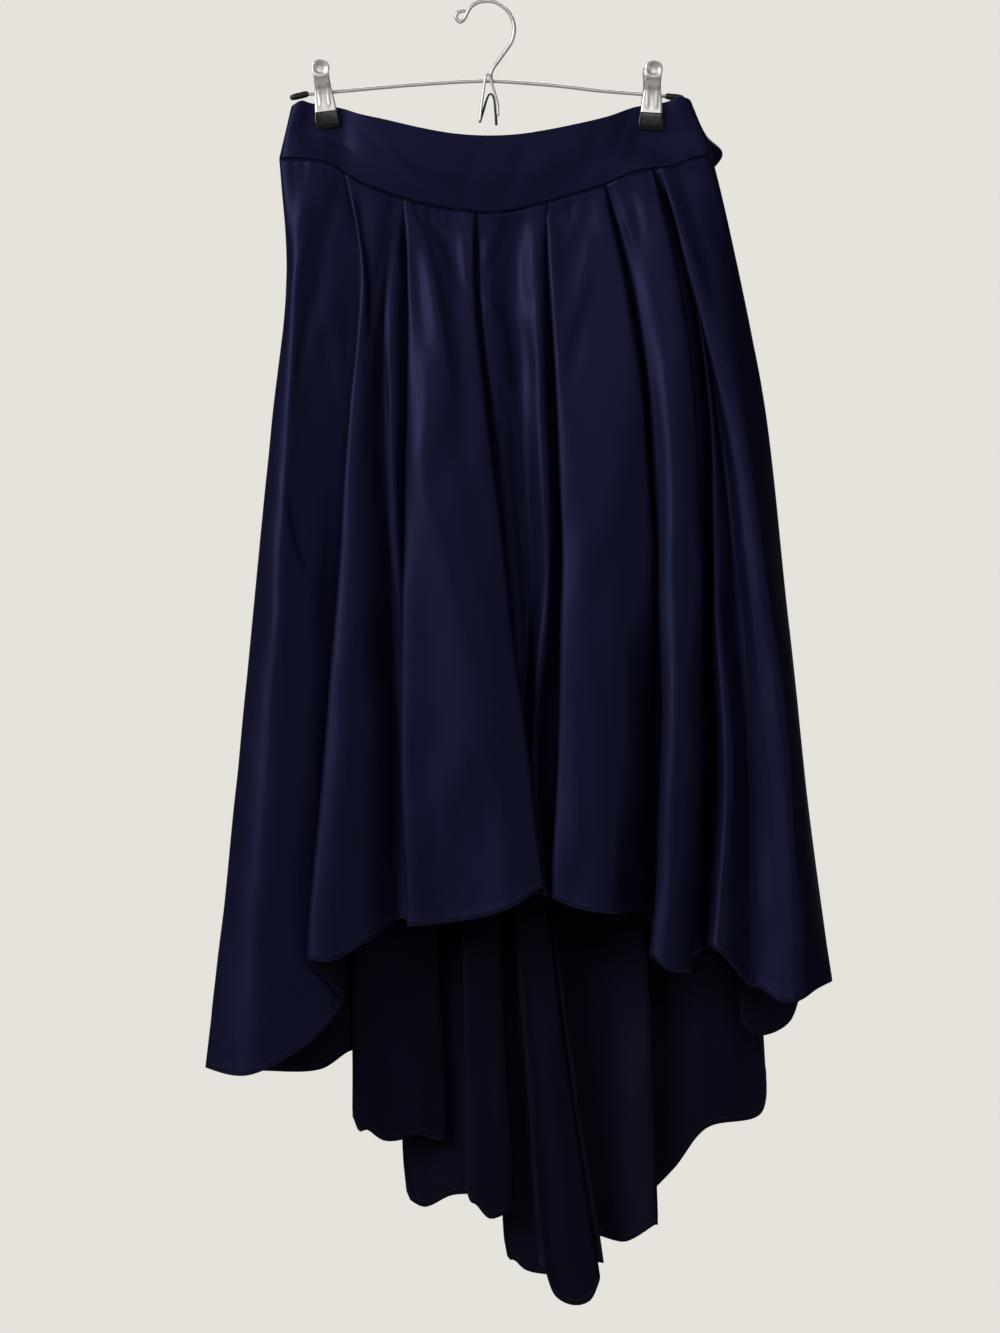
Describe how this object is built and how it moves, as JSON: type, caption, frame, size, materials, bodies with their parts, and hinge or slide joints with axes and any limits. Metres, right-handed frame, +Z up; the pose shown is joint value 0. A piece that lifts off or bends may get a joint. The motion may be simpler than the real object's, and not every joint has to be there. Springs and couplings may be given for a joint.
{
  "type": "high-low skirt on a wire clip hanger",
  "caption": "Navy satin high-low skirt, pleated into a shaped waistband, hung flat by two clips on a wire hanger.",
  "frame": {"origin": "underside of the hook's crown, where a rail or a nail carries the hanger", "axes": "+X to the wearer's left as the skirt is seen from the front, -Y towards the viewer, +Z up"},
  "size_m": [0.5642, 0.1052, 1.1764],
  "materials": {
    "satin": "satin",
    "waistband_satin": "satin",
    "chromed_steel": "polished",
    "black_rubber": "matte"
  },
  "bodies": {
    "root": {"front_skirt": "satin", "back_left_skirt": "satin", "back_right_skirt": "satin", "front_waistband": "waistband_satin", "back_waistband": "waistband_satin", "hook": "chromed_steel", "bar": "chromed_steel", "outer_prong": "chromed_steel", "left_clip_front_jaw": "chromed_steel", "left_clip_back_jaw": "chromed_steel", "left_clip_spring": "chromed_steel", "right_clip_front_jaw": "chromed_steel", "right_clip_back_jaw": "chromed_steel", "right_clip_spring": "chromed_steel", "inner_prong": "black_rubber", "left_end_cap": "black_rubber", "right_end_cap": "black_rubber", "left_clip_front_tip": "black_rubber", "left_clip_back_tip": "black_rubber", "right_clip_front_tip": "black_rubber", "right_clip_back_tip": "black_rubber"}
  },
  "joints": []
}
